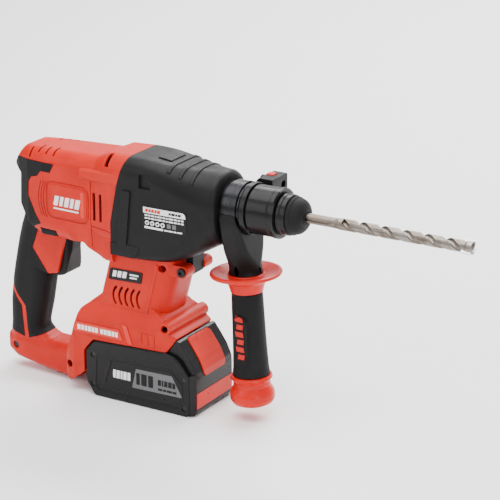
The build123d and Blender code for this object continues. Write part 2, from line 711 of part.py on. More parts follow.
def mode_knob():
    """Mode knob with its finger bar, its stem through the wall and the pin that shifts the drive."""
    x, z = MODE_KNOB
    face_y = GEAR_HALF + 0.6
    disc = rod_y(17.5, face_y, face_y + 4, x, z)
    disc = fillet(disc.faces().sort_by(Axis.Y)[-1].edges(), 1.2)
    bar = outline([(x - 5.5, z - 16), (x + 5.5, z - 16), (x + 4.5, z + 15), (x - 4.5, z + 15)], 3)
    grip = side_slab(bar, face_y + 3, face_y + 11)
    grip = fillet(grip.faces().sort_by(Axis.Y)[-1].edges(), 1.2)
    return disc + grip + rod_y(7, 30, face_y + 1, x, z) + rod_y(2.2, 26, 31, x + 4, z)


# ---- motor ----------------------------------------------------------------------------------
def round_z(points, x=MOTOR_X):
    """Round piece about an upright axis, from its outline as (radius, z)."""
    return Pos(x, 0, 0) * revolve(Plane.XZ * make_face(Polyline(*points, close=True)), Axis.Z)


def motor_can():
    """Steel can of the motor."""
    return round_z([(20, 92), (21.5, 92), (21.5, 147), (9, 147), (9, 145.4), (20, 145.4)])


def motor_magnets():
    """Two curved magnets inside the can."""
    ring = round_z([(16.2, 102), (20, 102), (20, 140), (16.2, 140)])
    sides = ((-40, MOTOR_X - 5), (MOTOR_X + 5, 40))
    return [ring & block(*x_range, -30, 30, 100, 142) for x_range in sides]


def motor_rotor():
    """Slotted armature."""
    core = rod_z(15.6, 104, 137, MOTOR_X) - rod_z(3, 90, 150, MOTOR_X)
    for slot in range(12):
        groove = Pos(MOTOR_X, 0, 120) * Rot(0, 0, 30 * slot) * Pos(14.2, 0, 0) * Box(6, 1.8, 40)
        core = core - groove
    return core


def commutator():
    """Copper commutator under the armature."""
    return rod_z(8, 90, 102, MOTOR_X) - rod_z(3, 80, 110, MOTOR_X)


def brush_holder():
    """End bracket with the lower bearing seat."""
    return round_z([
        (10.2, 91.8), (21.5, 91.8), (21.5, 88), (11, 88), (11, 77.8), (6, 77.8), (6, 79), (8, 79),
        (8, 88), (10.2, 88),
    ])


def carbon_brushes():
    """Two carbon brushes on the commutator."""
    return [block(*sorted((MOTOR_X + 8.2 * s, MOTOR_X + 17 * s)), -3, 3, 93, 98) for s in (-1, 1)]


def cooling_fan():
    """Radial fan above the can."""
    hub = round_z([(3, 148.4), (19.5, 148.4), (19.5, 149.6), (6, 151), (6, 155), (3, 155)])
    for blade in range(13):
        place = Pos(MOTOR_X, 0, 151.6) * Rot(0, 0, 360 / 13 * blade) * Pos(13, 0, 0) * Rot(0, 0, 18)
        hub = hub + place * Box(11, 1.0, 5)
    return hub


def motor_shaft():
    """Motor shaft with the bevel pinion cut on its end."""
    pinion = Pos(MOTOR_X, 0, COUNTER_Z) * Rot(180, 0, 0) * bevel_wheel(PINION_TEETH, BEVEL_TEETH)
    return rod_z(3, 79.5, 165, MOTOR_X) + pinion


def motor_bearings():
    """Small ball bearings of the motor shaft."""
    return [round_z([(3 + RUN_FIT, z), (8, z), (8, z + 5.5), (3 + RUN_FIT, z + 5.5)]) for z in (79, 157.4)]


# ---- switch and electrics ---------------------------------------------------------------------
def trigger():
    """Long paddle trigger with a pocket for its spring."""
    corners = [(-123.5, 114.5), (-113, 112), (-104.5, 114.5), (-99.6, 140), (-98.8, 157.4), (-123.5, 157.4)]
    paddle = side_prism(outline(corners, [2, 5, 5, 30, 2, 1]), 20)
    plan = outline(mirrored([(-124, 13.5), (-103.5, 13.5), (-99.2, 7), (-98.6, 2)]), [1, 5, 8, 0, 0, 8, 5, 1])
    paddle = paddle & plan_prism(plan, 100, 170)
    return paddle - rod_x(4.2, -125, -112, 0, 138)


def trigger_spring():
    """Return spring between the switch and the trigger."""
    return coil(3.2, 0.45, 0, 20.4, 7, Pos(-132.6, 0, 138) * Rot(0, 90, 0))


def switch_module():
    """Speed-control switch in the handle."""
    body = block(-156, -132.8, -9, 9, 126, 158, 1.0)
    return body + block(-152, -138, -7, 7, 116, 126.4) + rod_x(2.0, -133, -128.6, 0, 138)


def direction_selector():
    """Push-through forward and reverse bar with oval ends."""
    bar = side_prism(SlotOverall(20.0, 6.6).moved(Location((-113, 163.4, 0))), 28.6)
    faces = bar.faces().sort_by(Axis.Y)
    return fillet(faces[0].edges() + faces[-1].edges(), 1.4)


def controller_board():
    """Motor controller in the foot, with its heat sink and capacitor."""
    board = block(-66, -34, -22, 22, 79.5, 81.1)
    return board + block(-62, -44, -18, 18, 81, 88) + rod_x(5, -64, -51, 0, 74.6)


def terminal_block():
    """Battery terminal block with its blades."""
    block_body = block(-50, -39.6, -15, 15, 64.6, 72.2)
    for y in BLADE_Y:
        block_body = block_body + block(-40, -26, y - 0.45, y + 0.45, 66, 71)
    return block_body


# ---- battery -------------------------------------------------------------------------------------
PACK_SIDE = [
    (-63.9, 14.5), (-54, 0), (57, 0), (61.4, 4.5), (61.4, 41), (49, 57.4), (43.5, 61),
    (32.6, 63.75), (-53.4, 60.3), (-63.9, 48),
]
PACK_SIDE_ROUNDING = [5, 5, 3, 2, 4, 4, 2, 2, 4, 4]
PACK_FRONT = [
    (20, 63.2), (34.2, 63.8), (43.6, 77.8), (47, 76.4), (54, 67), (61, 57), (65.8, 46.5),
    (66.8, 40), (66.8, 5), (63.5, 0.6), (20, 0.6),
]
PACK_FRONT_ROUNDING = [0, 0, 1.5, 2, 14, 14, 8, 10, 3, 3, 0]
PACK_CORE_HALF = 33.2


def front_shape(shift=0.0):
    """Side view of the battery's front block, moved forward by shift."""
    return Pos(shift, 0) * outline(PACK_FRONT, PACK_FRONT_ROUNDING)


def battery_case():
    """Core of the battery: frame round the cells, front block and the rails on top."""
    face = outline(PACK_SIDE, PACK_SIDE_ROUNDING)
    side = side_prism(face, PACK_CORE_HALF)
    cover_room = side_prism(face, 60) - block(-100, 100, -PACK_CORE_HALF, PACK_CORE_HALF, -10, 100)
    front = side_prism(front_shape(), 34) - cover_room
    lower = mirrored([(52, 38.9), (61.4, 38.9), (66.8, 33.8)])
    bevel = side_prism(front_shape(), 38.9) & plan_prism(make_face(Polyline(*lower, close=True)), 2, 45)
    bevel = bevel - block(0, 61.5, -60, 60, -5, 80)
    rails = block(-34, 42, -22, 22, 58, 71.6)
    case = side + front + bevel + rails
    cells = outline([(-60.5, 6), (-52, 2.6), (56, 2.6), (58.4, 6), (58.4, 39), (47, 54), (40, 57), (-52, 57),
                     (-60.5, 48)], 3)
    case = case - side_prism(cells, 60) - rod_x(4.3, 54, 80, 0, 48)
    for side_of in (-1, 1):
        case = case - block(-40, 43, *sorted((18.3 * side_of, 24 * side_of)), 64.0, 67.6)
    for y in BLADE_Y:
        case = case - block(-40, -20, y - 1.2, y + 1.2, 65, 73)
    case = case - (button_zone(0.45) & (side_prism(front_shape(), 30) - side_prism(front_shape(-6.2), 40)))
    return case - (band_zone(0.0) & (side_prism(front_shape(), 40) - side_prism(front_shape(-1.8), 60)))


def button_zone(spare):
    """Where the release button lies on the front block."""
    face = RectangleRounded(40 + 2 * spare, 36 + 2 * spare, 4)
    return Pos(30, 0, 58.2) * extrude(Plane.YZ * face, 50)


def band_zone(spare):
    """Where the coloured band lies across the foot of the front block."""
    return block(50, 90, -33.6 + spare, 33.6 - spare, 8.5 + spare, 25 - spare)


def battery_release_button():
    """Large push button that follows the curved front."""
    shape = side_prism(front_shape(1.2), 40) - side_prism(front_shape(-2.4), 60)
    return shape & button_zone(0.0)


def latch_spring():
    """Spring behind the release button."""
    return coil(3.4, 0.5, 0, 7.6, 4, Pos(54.2, 0, 48) * Rot(0, 90, 0))


def battery_front_band():
    """Red band inlaid across the foot of the front block."""
    shape = side_prism(front_shape(0.35), 40) - side_prism(front_shape(-1.8), 60)
    return shape & band_zone(0.15)


def battery_side_plate(side):
    """Screwed cover on one side of the battery, with its raised frame and recess."""
    face = outline(PACK_SIDE, PACK_SIDE_ROUNDING)
    plate = side_slab(face, PACK_CORE_HALF, PACK_HALF)
    outer = plate.faces().sort_by(Axis.Y)[-1]
    plate = chamfer(outer.edges(), 1.3)
    hollow = outline(PACK_SIDE, PACK_SIDE_ROUNDING, 2.6)
    plate = plate - side_slab(hollow, PACK_CORE_HALF - 1, PACK_HALF - 2.6)
    frame = outline([(-50, 43.5), (-46.5, 47.5), (44.5, 49.5), (55.5, 38), (56.5, 13), (52, 7.5), (-47, 7),
                     (-52, 12)], 2)
    inner = outline([(-36, 43), (41, 45), (52.5, 34), (53.5, 18), (47, 11), (-45.5, 10.5)], 2)
    plate = plate - side_slab(frame, PACK_HALF - 0.5, PACK_HALF + 1)
    plate = plate + side_slab(inner, PACK_HALF - 0.6, PACK_HALF)
    for x, z in PACK_SCREWS:
        plate = plate - rod_y(2.9, PACK_HALF - 2.0, PACK_HALF + 2, x, z) - rod_y(1.35, 30, 50, x, z)
        plate = plate + (rod_y(4.0, PACK_CORE_HALF, PACK_HALF - 2.0, x, z) - rod_y(1.35, 30, 50, x, z))
    return plate if side > 0 else mirror(plate, Plane.XZ)


def battery_screws():
    """Small screws of the side covers."""
    screws = []
    for x, z in PACK_SCREWS:
        for side in (-1, 1):
            head = rod_y(2.6, *sorted(((PACK_HALF - 2.0) * side, (PACK_HALF - 0.9) * side)), x, z)
            ends = sorted(((PACK_CORE_HALF + 0.2) * side, (PACK_HALF - 1.5) * side))
            screws.append(head + rod_y(1.3, *ends, x, z))
    return screws


def battery_cells():
    """Ten round cells, five side by side in two layers."""
    return [rod_y(9.0, -32.5, 32.5, -40.5 + 19.2 * column_no, 13.2 + 19.2 * row)
            for row in range(2) for column_no in range(5)]


def cell_holders():
    """Plastic frames round both ends of the cells."""
    holders = []
    for side in (-1, 1):
        frame = block(-51.5, 47.5, *sorted((20 * side, 29 * side)), 3.2, 43.4)
        for cell in battery_cells():
            frame = frame - cell
        holders.append(frame)
    return holders


def battery_board():
    """Battery protection board with its female contacts."""
    board = block(-50, 38, -17, 17, 46, 47.6)
    for y in BLADE_Y:
        board = board + block(-32, -22, y - 1.15, y - 0.55, 47.4, 56.8)
        board = board + block(-32, -22, y + 0.55, y + 1.15, 47.4, 56.8)
    return board


# ---- side handle -----------------------------------------------------------------------------------
STRAP_X = (93.5, 106.5)


def leaned(shape):
    """Swings a piece drawn about a plumb handle axis to the handle's lean."""
    return Pos(HANDLE_X, 0, AXIS_Z) * Rot(0, -HANDLE_LEAN, 0) * shape


def handle_round(points):
    """Round piece about the handle axis, from its outline as (radius, distance below the spindle axis)."""
    face = make_face(Polyline(*[(r, -d) for r, d in points], close=True))
    return leaned(revolve(Plane.XZ * face, Axis.Z))


def clamp_strap():
    """Steel strap round the collar, with its ears in the yoke."""
    ring = tube_x(COLLAR_R + 1.5, COLLAR_R + RUN_FIT + 0.03, *STRAP_X)
    ears = block(*STRAP_X, -9, 9, AXIS_Z - 44, AXIS_Z - COLLAR_R + 0.5)
    ears = ears - block(80, 120, -7.4, 7.4, 100, 210)
    ears = ears - rod_x(COLLAR_R + 0.7, 80, 120, 0, AXIS_Z)
    foot = block(STRAP_X[0], STRAP_X[1], -9, 9, AXIS_Z - 45.5, AXIS_Z - 44)
    strap = ring + ears + foot
    return strap - leaned(rod_z(4.2, -60, -40))


def handle_yoke():
    """Black saddle that the strap pulls against the collar, tapering to a round neck."""
    levels = [
        (-2.5, 26.4, 8.2), (-15, 26.8, 10.5), (-26, 25.4, 12), (-40, 21.5, 13.5), (-55, 18.2, 15.5),
        (-67.5, 17.2, 17.1),
    ]
    faces = []
    for z, half_y, half_x in levels:
        corner = min(half_x, half_y) * (0.35 if z > -20 else 0.6 if z > -50 else 0.98)
        face = RectangleRounded(2 * half_x, 2 * half_y, corner)
        faces.append(Pos(2.4 * (z + 67.5) / 65 * -1, 0, z) * face)
    body = leaned(loft(faces, ruled=False))
    body = body - rod_x(COLLAR_R + 1.55, 60, 140, 0, AXIS_Z)
    body = body - block(STRAP_X[0] - 0.2, STRAP_X[1] + 0.2, -9.2, 9.2, AXIS_Z - 46, AXIS_Z)
    body = body - rod_x(26.4, 109.6, 130, 0, AXIS_Z)
    return body - leaned(rod_z(4.2, -80, -40) + rod_z(7.4, -46, -38))


def handle_bolt():
    """Clamp bolt with its head under the strap's foot."""
    head = extrude(RegularPolygon(7.0, 6), 5)
    return leaned(Pos(0, 0, -43.4) * head + rod_z(4.0, -110, -43))


def grip_core():
    """Red core of the side grip: hand guard, stem and end cap in one moulding."""
    guard = [
        (4.25, 67.8), (17.4, 67.8), (18, 68.6), (33, 65.6), (35.6, 66.2), (36.2, 67.6), (35.4, 69.2),
        (22, 73.6), (19, 77), (17.2, 83), (16.4, 86.5), (13, 87),
    ]
    cap = [
        (12, 173.0), (20.4, 173.8), (21.2, 176.5), (18.6, 180), (18.8, 185), (21.6, 189.5), (22.6, 193),
        (22.4, 198.5), (20.5, 202.3), (16, 204.6), (8, 205.8), (0, 206),
    ]
    return handle_round([*guard, *cap, (0, 112), (4.25, 112)])


def grip_sleeve():
    """Black rubber sleeve over the stem."""
    outer = [(15.3, 87.2), (15.7, 90), (16.1, 105), (16.6, 130), (17.2, 150), (18.0, 166), (18.9, 172.8)]
    inner = [(12.05, 172.8), (13.05, 87.2)]
    pad = leaned(Pos(0, -10.5, -134) * Rot(90, 0, 0) * extrude(SlotOverall(52, 15, rotation=90), 7.4))
    sleeve = handle_round([*outer, *inner])
    return sleeve + (pad - handle_round([(0, 80), (15, 80), (15, 180), (0, 180)]))


def depth_bracket():
    """Holder for the depth rod, on the strap's far side."""
    corners = [(98.5, 227), (98.5, 233), (107, 243), (122.5, 243), (122.5, 225.5)]
    side = outline(corners, [1, 1, 1.5, 1.2, 1.2])
    body = side_slab(side, 19, 48.5)
    foot = block(STRAP_X[0], STRAP_X[1], 15, 34, AXIS_Z - 2, 232)
    body = body + foot
    body = body - rod_x(COLLAR_R + 1.55, 80, 108, 0, AXIS_Z) - rod_x(27.4, 107.5, 130, 0, AXIS_Z)
    body = body + rod_x(6.4, 98.5, 122.5, *ROD_PLACE) - rod_x(4.1, 80, 140, *ROD_PLACE)
    return body - block(106.5, 115.5, 32.4, 41.6, 238.8, 250)


def depth_button():
    """Red push button that frees the depth rod."""
    return block(107, 115, 32.9, 41.1, 240, 244.2, 0.8)


# ---- labels -------------------------------------------------------------------------------------------
def rating_label():
    """Plate stuck on the gear housing."""
    face = outline([(8, 190.5), (58.5, 190.5), (58.5, 214.5), (8, 214.5)], 2)
    return (side_slab(face, -60, -30) & gear_form(-0.4)) - gear_form()


def neck_plate():
    """Black name plate on the neck."""
    face = outline([(-39, 127.5), (0.5, 129), (2.5, 140.8), (-36.5, 139.8)], 1.5)
    return side_slab(face, -NECK_HALF - 0.75, -NECK_HALF)


def battery_label():
    """Grey label on the battery's side."""
    face = outline([(-2, 40), (41, 41), (53, 20), (-7, 19)], 0.6)
    return side_slab(face, -PACK_HALF - 0.25, -PACK_HALF)


# ---- writing the nodes -----------------------------------------------------------------------------------
def write_housing():
    """Red halves, rubber skins and their screws."""
    form = housing_form()
    core = housing_form(SKIN)
    right, left = housing_halves(form, core)
    rear_of_gears = gear_form() & side_prism(make_face(Polyline(*GEAR_REAR, close=True)), 60)
    save("housing_right_shell", right - rear_of_gears)
    save("housing_left_shell", left - rear_of_gears)
    right_skin, left_skin = rubber_skins(core)
    save("grip_rubber_right", right_skin)
    save("grip_rubber_left", left_skin)
    save("housing_screws", *housing_screws())


def write_gear_train():
    """Gear housing, nose, spindle and everything that turns or strikes."""
    save("gear_housing", gear_housing())
    save("gear_case_screws", *gear_case_screws())
    save("nose_collar", nose_collar())
    save("collar_ring", collar_ring())
    save("rear_bearing_plate", rear_plate())
    rear_race = tube_x(18.5, SPINDLE_R + RUN_FIT, 76.5, 83.5)
    front_race = tube_x(17, 12.5 + RUN_FIT, 90.5, 99)
    save("ball_bearings", rear_race, front_race, *shaft_bearings(), *motor_bearings())
    save("spindle_seal", tube_x(17, 12.5 + RUN_FIT, 100, 105))
    save("spindle", spindle())
    save("spindle_gear", spindle_gear())
    save("locking_balls", *locking_balls())
    save("chuck_front_ring", front_ring())
    save("dust_cap", dust_cap())
    save("chuck_sleeve", chuck_sleeve())
    save("sleeve_spring", coil(13.6, 0.8, 0, 12.6, 4, Pos(119.2, 0, AXIS_Z) * Rot(0, 90, 0)))
    save("piston", piston())
    save("piston_pin", piston_pin())
    save("striker", striker(), seal_ring(83, 9.97, 1.2))
    save("beat_piece", beat_piece())
    save("countershaft", countershaft())
    save("bevel_gear", bevel_gear())
    save("wobble_hub", wobble_hub())
    save("wobble_ring", wobble_ring())
    save("mode_knob", mode_knob())
    save("drill_bit", drill_bit())
    save("carbide_tip", tip_plate())


def write_motor():
    """Upright motor and the electrics."""
    save("motor_can_and_magnets", motor_can(), *motor_magnets())
    save("motor_armature", motor_rotor(), commutator())
    save("motor_brush_holder", brush_holder(), *carbon_brushes())
    save("cooling_fan", cooling_fan())
    save("motor_shaft", motor_shaft())
    save("trigger", trigger())
    save("trigger_spring", trigger_spring())
    save("switch_module", switch_module())
    save("direction_selector", direction_selector())
    save("controller_board", controller_board())
    save("battery_terminal_block", terminal_block())


def write_battery():
    """Slide-on battery."""
    save("battery_case", battery_case())
    save("battery_side_right", battery_side_plate(-1))
    save("battery_side_left", battery_side_plate(1))
    save("battery_front_band", battery_front_band())
    save("battery_release_button", battery_release_button())
    save("battery_latch_spring", latch_spring())
    save("battery_cells", *battery_cells())
    save("battery_cell_holders", *cell_holders())
    save("battery_board", battery_board())
    save("battery_screws", *battery_screws())


def write_side_handle():
    """Side handle with its clamp and depth rod holder."""
    save("clamp_strap", clamp_strap())
    save("handle_yoke", handle_yoke())
    save("handle_bolt", handle_bolt())
    save("side_grip_core", grip_core())
    save("side_grip_rubber", grip_sleeve())
    save("depth_rod_bracket", depth_bracket())
    save("depth_rod_button", depth_button())


def write_labels():
    """Stuck-on plates."""
    save("side_labels", rating_label(), neck_plate())
    save("battery_label", battery_label())


write_housing()
write_gear_train()
write_motor()
write_battery()
write_side_handle()
write_labels()
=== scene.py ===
import json
import math

import bmesh
import bpy
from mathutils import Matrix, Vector
from mathutils.bvhtree import BVHTree
from mathutils.geometry import tessellate_polygon


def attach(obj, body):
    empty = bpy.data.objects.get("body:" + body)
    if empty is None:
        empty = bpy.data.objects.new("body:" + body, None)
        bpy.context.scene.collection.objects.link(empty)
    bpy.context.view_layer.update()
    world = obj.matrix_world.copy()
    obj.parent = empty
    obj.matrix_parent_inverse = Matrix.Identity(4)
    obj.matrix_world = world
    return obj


# Cordless rotary hammer. Metres, in the row frame: +X towards the drill, +Z up, right side -Y.

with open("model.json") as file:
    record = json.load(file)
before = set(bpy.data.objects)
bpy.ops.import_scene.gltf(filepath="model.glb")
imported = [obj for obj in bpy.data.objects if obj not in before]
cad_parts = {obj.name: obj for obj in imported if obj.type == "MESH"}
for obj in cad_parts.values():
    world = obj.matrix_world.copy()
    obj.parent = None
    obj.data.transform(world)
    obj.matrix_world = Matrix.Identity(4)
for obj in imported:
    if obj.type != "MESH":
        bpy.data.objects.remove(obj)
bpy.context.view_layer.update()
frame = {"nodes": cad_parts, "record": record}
NODES = frame["nodes"]

MM = 0.001
AXIS_Z = 218.5 * MM                   # spindle axis
RIGHT = -1                            # the tool's right side, in Y
PRINT_LIFT = 0.12 * MM                # how far printed marks stand off their surface
GRID = 2.5 * MM                       # longest mesh edge of a mark laid on a curved surface
CAST_FROM = 0.09                      # where rays towards the tool start, to either side of Y = 0
CAST_REACH = 0.12                     # how far they go
MISSED_Y = 0.03                       # where a point of a mark goes if its ray meets nothing


# ---- materials ------------------------------------------------------------------------
class Shader:
    """Small wrapper that builds a node material step by step."""

    def __init__(self, name, **values):
        self.material = bpy.data.materials.new(name)
        self.material.use_nodes = True
        self.tree = self.material.node_tree
        self.bsdf = self.tree.nodes["Principled BSDF"]
        for key, value in values.items():
            self.bsdf.inputs[key.replace("_", " ")].default_value = value
        self.coords = self.tree.nodes.new("ShaderNodeTexCoord").outputs["Object"]

    def node(self, kind, links=(), **settings):
        node = self.tree.nodes.new(kind)
        for key, value in settings.items():
            if hasattr(node, key):
                setattr(node, key, value)
            else:
                node.inputs[key.replace("_", " ")].default_value = value
        for socket, source in dict(links).items():
            self.tree.links.new(source, node.inputs[socket])
        return node

    def noise(self, scale, detail=3.0, rough=0.55, source=None):
        links = {"Vector": source or self.coords}
        return self.node("ShaderNodeTexNoise", links, Scale=scale, Detail=detail, Roughness=rough)

    def stretched(self, scale, centre=(0, 0, 0)):
        """Coordinates about centre, stretched by scale."""
        node = self.node("ShaderNodeMapping", {"Vector": self.coords})
        node.inputs["Location"].default_value = [-c * s for c, s in zip(centre, scale)]
        node.inputs["Scale"].default_value = scale
        return node.outputs["Vector"]

    def cells(self, scale, source=None):
        links = {"Vector": source or self.coords}
        return self.node("ShaderNodeTexVoronoi", links, Scale=scale)

    def spread(self, value, low, high, start=0.3, end=0.7):
        """Value from a texture, moved into the range low to high."""
        node = self.node("ShaderNodeMapRange", {"Value": value})
        for key, number in (("From Min", start), ("From Max", end), ("To Min", low), ("To Max", high)):
            node.inputs[key].default_value = number
        return node.outputs["Result"]

    def mixed(self, factor, first, second):
        node = self.node("ShaderNodeMix", {"Factor": factor}, data_type="RGBA")
        for index, colour in ((6, first), (7, second)):
            if isinstance(colour, tuple):
                node.inputs[index].default_value = (*colour, 1.0)
            else:
                self.tree.links.new(colour, node.inputs[index])
        return node.outputs[2]

    def set(self, socket, source):
        self.tree.links.new(source, self.bsdf.inputs[socket])

    def relief(self, layers, edge=0.0):
        """Bump layers as (height, distance in metres, strength) over rounded edges of radius edge."""
        normal = None
        if edge:
            normal = self.node("ShaderNodeBevel", samples=6, Radius=edge).outputs["Normal"]
        for height, distance, strength in layers:
            links = {"Height": height}
            if normal:
                links["Normal"] = normal
            bump = self.node("ShaderNodeBump", links, Distance=distance, Strength=strength)
            normal = bump.outputs["Normal"]
        self.set("Normal", normal)

    def worn_edges(self, colour, light, amount=0.25):
        """Lightens the convex edges, as handling does."""
        geometry = self.node("ShaderNodeNewGeometry")
        factor = self.spread(geometry.outputs["Pointiness"], 0.0, amount, 0.52, 0.62)
        return self.mixed(factor, colour, light)


def moulded(name, colour, roughness, grain=2600.0, depth=0.03, edge=0.5, coat=0.0, wear=None):
    """Injection-moulded plastic: spark-eroded grain, faint colour drift, softened edges."""
    shader = Shader(name, Roughness=roughness, Specular_IOR_Level=0.16, Coat_Weight=coat, Coat_Roughness=0.12)
    drift = shader.noise(28.0, 4.0)
    dark = tuple(c * 0.86 for c in colour)
    light = tuple(min(c * 1.10 + 0.0005, 1.0) for c in colour)
    base = shader.mixed(shader.spread(drift.outputs["Fac"], 0.0, 1.0), dark, light)
    pale = wear or tuple(min(c * 1.5 + 0.006, 1.0) for c in colour)
    shader.set("Base Color", shader.worn_edges(base, pale))
    smudge = shader.noise(60.0, 5.0, 0.65)
    shader.set("Roughness", shader.spread(smudge.outputs["Fac"], roughness - 0.05, roughness + 0.07))
    grain_a = shader.noise(grain, 2.0, 0.6)
    grain_b = shader.cells(grain * 0.45)
    layers = [
        (grain_a.outputs["Fac"], depth * MM, 0.6),
        (grain_b.outputs["Distance"], depth * MM * 0.7, 0.35),
    ]
    shader.relief(layers, edge * MM)
    return shader.material


def rubber(name, colour=(0.005, 0.005, 0.0055), roughness=0.62):
    """Soft overmould: matt, finely pebbled, with a faint bloom."""
    sheen = {"Sheen_Weight": 0.02, "Sheen_Roughness": 0.5}
    shader = Shader(name, Roughness=roughness, Specular_IOR_Level=0.13, **sheen)
    bloom = shader.noise(35.0, 5.0, 0.6)
    dusty = tuple(c * 1.5 + 0.002 for c in colour)
    shader.set("Base Color", shader.mixed(shader.spread(bloom.outputs["Fac"], 0.0, 1.0), colour, dusty))
    shader.set("Roughness", shader.spread(bloom.outputs["Fac"], roughness - 0.06, roughness + 0.1))
    pebbles = shader.cells(1500.0)
    fine = shader.noise(4200.0, 2.0)
    layers = [
        (pebbles.outputs["Distance"], 0.05 * MM, 0.7),
        (fine.outputs["Fac"], 0.02 * MM, 0.5),
    ]
    shader.relief(layers, 0.6 * MM)
    return shader.material


def turned_metal(name, colour, roughness, rings=900.0, axis=(1, 0, 0), edge=0.3):
    """Metal turned about an axis: fine rings, streaks of oil and handling."""
    shader = Shader(name, Metallic=1.0, Roughness=roughness)
    squash = [rings if a else 6.0 for a in axis]
    ring = shader.noise(1.0, 2.0, 0.7, shader.stretched(squash))
    stain = shader.noise(45.0, 5.0, 0.6)
    dark = tuple(c * 0.72 for c in colour)
    tone = shader.mixed(shader.spread(stain.outputs["Fac"], 0.0, 1.0), dark, colour)
    shader.set("Base Color", shader.worn_edges(tone, tuple(min(c * 1.5, 1) for c in colour), 0.5))
    shader.set("Roughness", shader.spread(ring.outputs["Fac"], roughness - 0.08, roughness + 0.1))
    shader.relief([(ring.outputs["Fac"], 0.02 * MM, 0.5)], edge * MM)
    return shader.material


def blasted_steel(name, colour, roughness):
    """Bead-blasted hardened steel with brownish temper stains."""
    shader = Shader(name, Metallic=1.0, Roughness=roughness)
    stain = shader.noise(70.0, 6.0, 0.65)
    brown = (colour[0] * 0.50, colour[1] * 0.42, colour[2] * 0.37)
    along = shader.node("ShaderNodeSeparateXYZ", {"Vector": shader.coords})
    sooty = shader.mixed(shader.spread(along.outputs["X"], 0.0, 1.0, 0.180, 0.225), brown, colour)
    tone = shader.mixed(shader.spread(stain.outputs["Fac"], 0.0, 1.0, 0.35, 0.65), brown, sooty)
    shader.set("Base Color", shader.worn_edges(tone, tuple(min(c * 1.9, 1) for c in colour), 0.7))
    grit = shader.noise(2200.0, 3.0, 0.7)
    shader.set("Roughness", shader.spread(grit.outputs["Fac"], roughness - 0.08, roughness + 0.12))
    shader.relief([(grit.outputs["Fac"], 0.03 * MM, 0.6)], 0.15 * MM)
    return shader.material


def printed(name, colour, roughness=0.42):
    """Screen-printed ink or label film, with the slight unevenness of a print."""
    shader = Shader(name, Roughness=roughness, Specular_IOR_Level=0.16)
    mottle = shader.noise(420.0, 4.0, 0.6)
    faded = tuple(c * 0.9 for c in colour)
    shader.set("Base Color", shader.mixed(shader.spread(mottle.outputs["Fac"], 0.0, 1.0), faded, colour))
    shader.relief([(mottle.outputs["Fac"], 0.008 * MM, 0.4)])
    return shader.material


def studio_floor():
    """Matt white paper."""
    shader = Shader("floor_paper", Roughness=0.7)
    fibre = shader.noise(300.0, 4.0)
    spread = shader.spread(fibre.outputs["Fac"], 0, 1)
    shader.set("Base Color", shader.mixed(spread, (0.93, 0.93, 0.93), (0.95, 0.95, 0.95)))
    return shader.material


RED = (0.50, 0.009, 0.003)
SIGNAL_RED = (0.56, 0.009, 0.005)
MATERIALS = {
    "housing_red": moulded("housing_red", RED, 0.40, depth=0.035, edge=0.9, wear=(0.60, 0.045, 0.022)),
    "signal_red": moulded("signal_red", SIGNAL_RED, 0.30,
                          depth=0.02, edge=0.6, coat=0.04, wear=(0.62, 0.05, 0.03)),
    "gear_case_black": moulded("gear_case_black", (0.005, 0.005, 0.0055), 0.44,
                               grain=1900.0, depth=0.05, edge=0.9),
    "grip_rubber": rubber("grip_rubber"),
    "battery_black": moulded("battery_black", (0.004, 0.004, 0.0045), 0.30,
                             grain=2200.0, depth=0.03, edge=0.6, coat=0.1),
    "chuck_plastic": moulded("chuck_plastic", (0.0045, 0.0045, 0.005), 0.36,
                             grain=2000.0, depth=0.03, edge=0.5, coat=0.1),
    "collar_steel": turned_metal("collar_steel", (0.024, 0.024, 0.026), 0.30),
    "tool_steel": turned_metal("tool_steel", (0.36, 0.34, 0.32), 0.30),
    "drill_steel": blasted_steel("drill_steel", (0.27, 0.245, 0.22), 0.36),
    "carbide": blasted_steel("carbide", (0.62, 0.60, 0.56), 0.34),
    "screw_steel": turned_metal("screw_steel", (0.035, 0.035, 0.036), 0.40, axis=(0, 1, 0)),
    "magnet_steel": turned_metal("magnet_steel", (0.10, 0.10, 0.11), 0.42, axis=(0, 0, 1)),
    "armature_steel": turned_metal("armature_steel", (0.30, 0.20, 0.12), 0.40, rings=2400.0, axis=(0, 0, 1)),
    "aluminium_plate": turned_metal("aluminium_plate", (0.55, 0.55, 0.56), 0.42),
    "seal_rubber": rubber("seal_rubber", roughness=0.5),
    "fan_plastic": moulded("fan_plastic", (0.03, 0.03, 0.032), 0.5),
    "board_green": moulded("board_green", (0.01, 0.09, 0.03), 0.35, coat=0.4),
    "cell_wrap": moulded("cell_wrap", (0.03, 0.14, 0.35), 0.3, depth=0.01, coat=0.3),
    "holder_plastic": moulded("holder_plastic", (0.16, 0.16, 0.165), 0.5),
    "label_print": printed("label_print", (0.008, 0.008, 0.009), 0.34),
    "label_grey": printed("label_grey", (0.13, 0.13, 0.135), 0.40),
    "print_white": printed("print_white", (0.85, 0.85, 0.84)),
    "print_black": printed("print_black", (0.008, 0.008, 0.008)),
    "print_pink": printed("print_pink", (0.70, 0.034, 0.022), 0.36),
    "print_red": printed("print_red", (0.52, 0.014, 0.01)),
}


def dress(obj, key):
    """Gives a mesh one of the materials."""
    obj.data.materials.clear()
    obj.data.materials.append(MATERIALS[key])
    return obj


def dress_frame():
    """Each CAD node gets the material of its slot in the record."""
    slots = {row["node"]: row["material_slot"] for row in frame["record"]["subparts"]}
    for node, obj in NODES.items():
        for place in obj.material_slots:
            place.material = MATERIALS[slots[node]]


